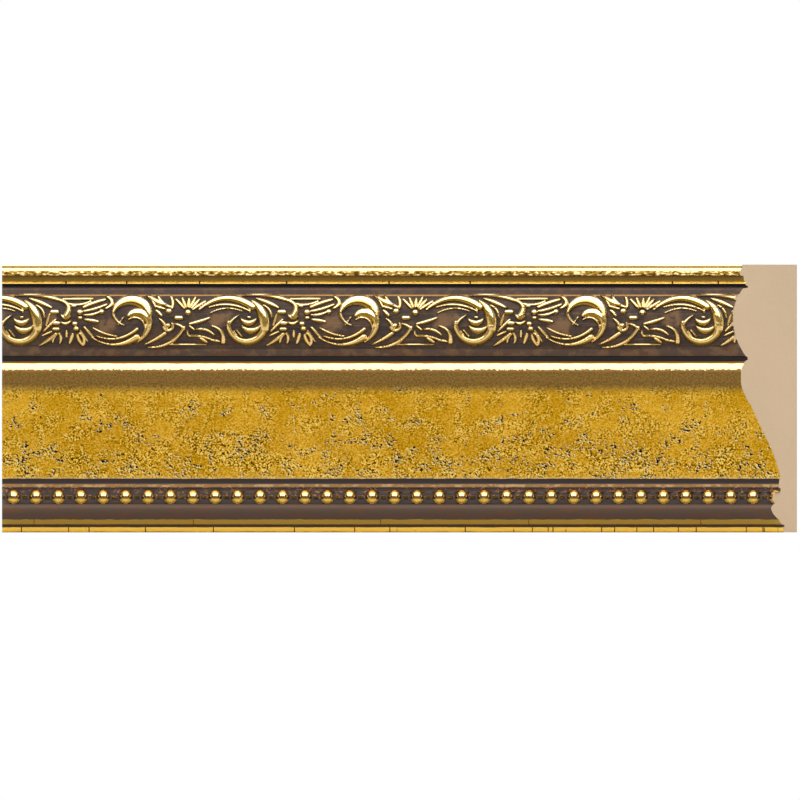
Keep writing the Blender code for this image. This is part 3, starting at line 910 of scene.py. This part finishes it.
def crackled_gold(made, colours, grain):
    """Colour of the sloping face: clouded gold, speckled dark and with painted glints, pitted, the pits with
    painted highlight rims, and scratched, most towards its foot.
    """
    cloud = made.noise(16.0, 2.0)
    patches = made.noise(6.5, 3.0, 0.6)
    low_down = made.height.between(50.0, 22.0)
    strength = (patches.between(0.42, 0.60) * 0.65 + 0.35) * (low_down * 0.35 + 0.65)
    tone = made.mix(cloud.between(0.35, 0.65), colour(colours.old_gold, 0.9), SLOPE_CLOUD)
    # Painted glints: bright specks in the grain
    tone = made.mix(grain.between(0.55, 0.60) * strength, tone, SLOPE_GLINT)
    tone = made.mix(grain.between(0.45, 0.40) * strength, tone, SLOPE_SPECK)
    clusters = (made.noise(6.0, 3.0, 0.6, at=made.pressed(turned=20.0)) + low_down * 0.1).between(0.59, 0.65)
    hollow = made.noise(0.9, 2.0, 0.6, at=made.pressed(0.9, 1.1))
    # Painted highlight: a pale rim beside each pit, from the pits' own pattern moved aside
    rim = made.noise(0.9, 2.0, 0.6, at=made.pressed(0.9, 1.1, moved=(0.25, 0.3)))
    tone = made.mix(rim.between(0.44, 0.40) * clusters, tone, PIT_RIM_HIGHLIGHT)
    dashes = made.cells(2.2, at=made.pressed(0.9, 0.28, turned=35.0)).between(0.16, 0.08)
    pits = (hollow.between(0.44, 0.41) * clusters).most(dashes * made.noise(5.0, 1.0).between(0.58, 0.64))
    return made.mix(pits, tone, PIT), pits


def burnished_gold(made, colours, copper, side, flecks, foot):
    """Colour of fillets, beads and leaves: bright gold, flecked on the crown with dark specks and painted
    glints, and copper in places.

    A leaf has a painted highlight on its upper side and painted olive shade on its lower side, a bead painted
    brown shade at its waist, and thin cracks cross the fillets.
    """
    rub = made.noise(2.6, 3.0, 0.55)
    on_crown = made.height.inside(*SPECKLED, 0.2)
    tone = made.mix(rub.between(0.3, 0.7), colour(colours.gold, 0.85), colours.gold)
    # Painted highlight: pale gold on the leaves' upper sides
    painted_sheen = side.between(-0.05, -0.3) * side.between(-0.9, -0.65) * made.height.between(*SHEEN_RISE)
    tone = made.mix(painted_sheen * rub.between(0.3, 0.45), tone, PAINTED_SHEEN_GOLD)
    # Painted shade: olive on the leaves' lower sides
    tone = made.mix(side.between(-0.05, 0.35) * side.between(0.95, 0.75), tone, colours.olive)
    tone = made.mix(on_crown, tone, CROWN_GOLD)
    tone = made.mix(flecks.between(0.46, 0.40) * on_crown, tone, CROWN_SPECK)
    # Painted highlight: bright glints among the crown's flecks
    tone = made.mix(flecks.between(0.53, 0.60) * on_crown, tone, CROWN_GLINT)
    tone = made.mix(foot, tone, FOOT_GOLD)
    on_lip = made.height.inside(FOOT_FILLET, LIP, 0.1)
    tone = made.mix(on_lip, tone, colour(colours.gold, 0.5))
    on_line = made.height.inside(*BRIGHT_LINE, 0.15)
    tone = made.mix(on_line, tone, colour(colours.gold, 0.78))
    # Painted shade: a brown band across the beads' waist
    on_waist_shade = made.height.inside(*BEAD_WAIST_SHADE, 0.5)
    tone = made.mix(on_waist_shade * rub.between(0.25, 0.45) * 0.85, tone, WAIST_SHADE_BROWN)
    small_cracks = made.cuts(*SMALL_FOOT_CRACKS) * made.noise(11.0, 1.0).between(0.52, 0.58)
    cracks = small_cracks.most(made.cuts(*FOOT_CRACKS)) * foot
    cracks = cracks + made.cuts(*LIP_CRACKS) * on_lip
    cracks = cracks + made.cuts(*LINE_CRACKS) * on_line
    tone = made.mix(cracks, tone, CRACK)
    rubbed = made.mix(rub.between(0.48, 0.58) * 0.7, colours.copper, RUBBED_COPPER)
    rubbed = made.mix(made.height.between(*DARK_COPPER), rubbed, colour(colours.copper, 0.62))
    return made.mix(copper, tone, rubbed)


def thin_ovals(made):
    """1 in the ovals of every scroll and 0 outside them, with soft edges broken up by noise."""
    total = None
    uneven = made.noise(3.5, 3.0, 0.6) * 2.6 - 0.4
    for scroll, middle, half in OVALS:
        across = (made.along - scroll - middle[0]).math("WRAP", REPEAT / 2, -REPEAT / 2) / half[0]
        upward = (made.height - BAND_MIDDLE - middle[1]) / half[1]
        oval = (uneven - across * across - upward * upward).between(0.0, OVAL_BLUR)
        total = total.most(oval) if total else oval
    return total


def umber_wash(made, colours, streaks):
    """Colour of the hollows: umber with rust streaks, brown where it lies thin, black round the raised parts
    and in the quirks as wash and painted shade, and darker over the band's edge line as painted shade.

    Copper flecks show on the bead seat, and a line of rust above the weathering.
    """
    tone = made.mix(streaks.between(0.45, 0.7), colours.umber, RUST_STREAK)
    thin = thin_ovals(made)
    rubbed_band = made.noise(4.0, 3.0, 0.6).between(0.46, 0.62) * made.height.inside(*BAND, 2.0)
    tone = made.mix(thin.most(rubbed_band * 0.6), tone, colours.thin_wash)
    flecks = made.noise(0.8, 2.0, 0.6).between(0.54, 0.62) * made.noise(5.0, 1.0).between(0.42, 0.58)
    flecks = flecks * made.height.inside(*BEAD_SEAT, 0.8)
    tone = made.mix(flecks, tone, SEAT_FLECK)
    tone = made.mix(made.height.inside(*RUSTED, 0.2), tone, RUST)
    # Black round each raised part and in the quirks is partly wash, partly painted shade; the ground over the
    # edge line is darkened as painted shade
    black = (made.stored("wash_and_shade") * (0.9 - thin * 0.6)).most(bands(made.height, WASHED_AND_SHADED, 0.3) * 0.9)
    return made.mix(black.most(made.height.inside(*SHADED_GROUND, 0.6) * 0.55), tone, BLACK_WASH_AND_SHADE)


def gilding(colours):
    """Antique gilding: burnished gold and copper over umber, and a crackled gold on the sloping face."""
    made = Finish("antique gilding")
    grain = made.noise(0.62, 1.0)
    streaks = made.noise(2.2, 3.0, 0.6, at=made.pressed(0.2, 1.5))
    wavy = made.height + (made.noise(3.0, 3.0, 0.6, at=made.pressed(0.6)) - 0.5) * 0.5
    copper = bands(wavy, COPPERED)
    flecks = made.noise(1.0, 2.0, 0.6, at=made.pressed(0.55, 1.3))
    crackle = made.height.inside(*CRACKLED, 3.0)
    ragged = made.height + (made.noise(0.9, 3.0, 0.7) - 0.5) * 2.6
    # Painted shade: brown over the listel and the slope's shoulder, where the leaf's metal and coat are taken
    # off
    painted_shade = made.height.between(*SHADE_BEGINS) * ragged.between(*SHADE_ENDS)
    fringe = ragged.inside(*SHADE_FRINGE, 0.3)
    worn = made.noise(2.0, 3.0, 0.6).between(0.22, 0.32)
    side = made.stored("lower_side")
    foot = made.height.between(FOOT_FILLET, FOOT_FILLET - 0.1)
    crown = made.height.inside(*SPECKLED, 0.15)
    # Painted shade: the upper fillet is coloured matt dark olive instead of shining as leaf
    fillet_shade = made.height.inside(*SHADED_FILLET, 0.15)
    leaf = bands(wavy, GILDED).most(copper).most(made.stored("gilt").between(0.2, 0.8) * worn)
    matt, pits = crackled_gold(made, colours, grain)
    gold = made.mix(crackle, burnished_gold(made, colours, copper, side, flecks, foot), matt)
    brown = made.mix(grain.between(0.35, 0.65), colour(colours.painted_shade, 0.72), colour(colours.painted_shade, 1.25))
    gold = made.mix(fillet_shade, made.mix(painted_shade, gold, brown), colour(colours.olive, 0.6))
    gold = made.mix(fringe, gold, RUST)
    plain = (1 - painted_shade.most(fringe)) * (1 - fillet_shade)
    # The beads' foot is made less metallic so it shows lighter, as painted light; the band is a little less
    # metallic as satin
    lit_bead_foot_and_satin = (made.height.inside(*BEAD_FOOT, 0.6) * 0.6).most(made.height.inside(*BAND, 0.5) * 0.2)
    bare = crackle.most(copper).most(crown).most(made.height.inside(*BRIGHT_LINE, 0.15))
    coat = leaf * (1 - bare) * plain * side.between(0.2, 0.02)
    rough = crackle.most(painted_shade).most(fillet_shade).most(crown) * MATT + copper * COPPER_MATT
    relief = grain * (crackle * 1.5 + 0.1) - pits * crackle + flecks * 0.8 * (1 - crackle)
    made.set(
        Base_Color=made.mix(leaf, umber_wash(made, colours, streaks), gold),
        Metallic=leaf * plain * (1 - (foot * 0.7).most(lit_bead_foot_and_satin)),
        Roughness=WASH_ROUGHNESS - leaf * LEAF_GLOSS + rough,
        Coat_Weight=coat * made.height.between(*COATED),
        Coat_Roughness=0.08,
        Coat_IOR=2.6,
        Specular_IOR_Level=0.2,
        Normal=made.bumped(relief, BUMP),
    )
    return made.material


def bare_core(colours):
    """Bare foamed core: matt beige with fine cells and slow changes of tone."""
    made = Finish("bare core")
    cloud = made.noise(30.0, 2.0)
    cells = made.cells(0.6)
    tone = made.mix(cloud.between(0.3, 0.7), colours.core, colour(colours.core, 0.96))
    made.set(
        Base_Color=made.mix(cells.between(0.25, 0.05) * 0.25, tone, colour(colours.core, 0.7)),
        Roughness=0.85,
        Normal=made.bumped(cells, BUMP),
    )
    return made.material


def dress(mesh, colours):
    """Gilding on the face and the long edges, bare core on the flat back and the two cut ends."""
    side = sides_of(mesh)
    mesh.materials.append(gilding(colours))
    mesh.materials.append(bare_core(colours))
    mesh.polygons.foreach_set("material_index", (side != FACE).astype(np.int32))
    mesh.shade_smooth()
    mesh.set_sharp_from_angle(angle=math.radians(SHARP_DEGREES))
    unroll(mesh, side)


def link(item):
    bpy.context.scene.collection.objects.link(item)
    return item


class MOULDING_OT_body(Operator):
    """Makes the carved and gilded body, which stands for the moulding's plain solid"""

    bl_idname = "moulding.body"
    bl_label = "Gilded moulding"

    def execute(self, context):
        shape = context.scene.moulding_shape
        piece = link(bpy.data.objects.new("gilded_moulding", body_mesh("gilded_moulding", shape)))
        thin_out(piece, shape.triangles)
        dress(piece.data, context.scene.moulding_finish)
        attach(piece, "root")
        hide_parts(NODE)
        return {"FINISHED"}


class MOULDING_OT_stage(Operator):
    """Makes the floor, the softboxes, the room's light and the camera"""

    bl_idname = "moulding.stage"
    bl_label = "Studio"

    def execute(self, context):
        studio = context.scene.moulding_studio
        make_sheet("floor", *FLOOR_SIZE, studio.floor, (0.0, 0.0, FOOT * MM), 0.0)
        flag = make_sheet("flag", *FLAG_SIZE, FLAG_COLOUR, (0.0, -FLAG_DISTANCE, FOOT * MM), 90.0)
        flag.visible_camera = False
        flag.visible_shadow = False
        make_softbox("key", *KEY_BOX, studio.key)
        make_softbox("overhead", *OVERHEAD_BOX, studio.overhead)
        make_room(context.scene, studio)
        make_camera(context.scene, studio)
        return {"FINISHED"}


def make_sheet(name, width, depth, tint, place, tilt):
    """A plain sheet of the stage, laid flat about its middle, or stood on its near edge when it is tilted."""
    near = -depth / 2 if tilt == 0.0 else 0.0
    mesh = bpy.data.meshes.new(name)
    ends = ((-1, 0), (1, 0), (1, 1), (-1, 1))
    corners = [(side * width / 2, near + back * depth, 0.0) for side, back in ends]
    mesh.from_pydata(corners, [], [(0, 1, 2, 3)])
    made = Finish(name)
    made.set(Base_Color=colour(tint), Roughness=STAGE_ROUGHNESS)
    mesh.materials.append(made.material)
    sheet = link(bpy.data.objects.new(name, mesh))
    sheet.location = place
    sheet.rotation_euler = (math.radians(tilt), 0.0, 0.0)
    return sheet


def make_softbox(name, elevation, distance, width, tall, radiance):
    """A softbox that faces the moulding from an elevation in degrees, past 90 from behind it."""
    data = bpy.data.lights.new(name, "AREA")
    data.shape = "RECTANGLE"
    data.size, data.size_y = width, tall
    data.energy = math.pi * width * tall * radiance
    softbox = link(bpy.data.objects.new(name, data))
    angle = math.radians(elevation)
    softbox.location = (0.0, -distance * math.cos(angle), distance * math.sin(angle))
    softbox.rotation_euler = (math.pi / 2 - angle, 0.0, 0.0)


def make_room(scene, studio):
    """A dim room for the face to reflect, which the camera sees as plain white."""
    world = bpy.data.worlds.new("room")
    scene.world = world
    world.use_nodes = True
    tree = world.node_tree
    dim = tree.nodes["Background"]
    dim.inputs["Strength"].default_value = studio.room
    dim.inputs["Color"].default_value = WHITE
    white = tree.nodes.new("ShaderNodeBackground")
    white.inputs["Color"].default_value = WHITE
    seen = tree.nodes.new("ShaderNodeLightPath")
    pick = tree.nodes.new("ShaderNodeMixShader")
    tree.links.new(seen.outputs["Is Camera Ray"], pick.inputs["Fac"])
    tree.links.new(dim.outputs[0], pick.inputs[1])
    tree.links.new(white.outputs[0], pick.inputs[2])
    tree.links.new(pick.outputs[0], tree.nodes["World Output"].inputs["Surface"])


def make_camera(scene, studio):
    """A camera square to the face, with no perspective."""
    data = bpy.data.cameras.new("camera")
    data.type = "ORTHO"
    data.ortho_scale = studio.framed_width
    camera = link(bpy.data.objects.new("camera", data))
    camera.location = [part * MM for part in CAMERA_PLACE]
    camera.rotation_euler = (math.radians(90), 0.0, 0.0)
    scene.camera = camera
    scene.view_settings.view_transform = "Standard"


class MOULDING_PT_panel(Panel):
    """Lists the moulding's makers in the 3D view's sidebar"""

    bl_label = "Wall moulding"
    bl_space_type = "VIEW_3D"
    bl_region_type = "UI"
    bl_category = "Moulding"

    def draw(self, context):
        for key, group in GROUPS.items():
            for name in group.__annotations__:
                self.layout.prop(getattr(context.scene, key), name)
        for maker in MAKERS:
            self.layout.operator(maker.bl_idname)


GROUPS = {
    "moulding_shape": MouldingShape,
    "moulding_finish": MouldingFinish,
    "moulding_studio": StudioSettings,
}
MAKERS = (MOULDING_OT_body, MOULDING_OT_stage)
CLASSES = (*GROUPS.values(), *MAKERS, MOULDING_PT_panel)


def register():
    for item in CLASSES:
        bpy.utils.register_class(item)
    for key, group in GROUPS.items():
        setattr(bpy.types.Scene, key, PointerProperty(type=group))


def unregister():
    for key in GROUPS:
        delattr(bpy.types.Scene, key)
    for item in reversed(CLASSES):
        bpy.utils.unregister_class(item)


def main():
    register()
    bpy.ops.moulding.body()
    bpy.ops.moulding.stage()


if __name__ == "__main__":
    main()
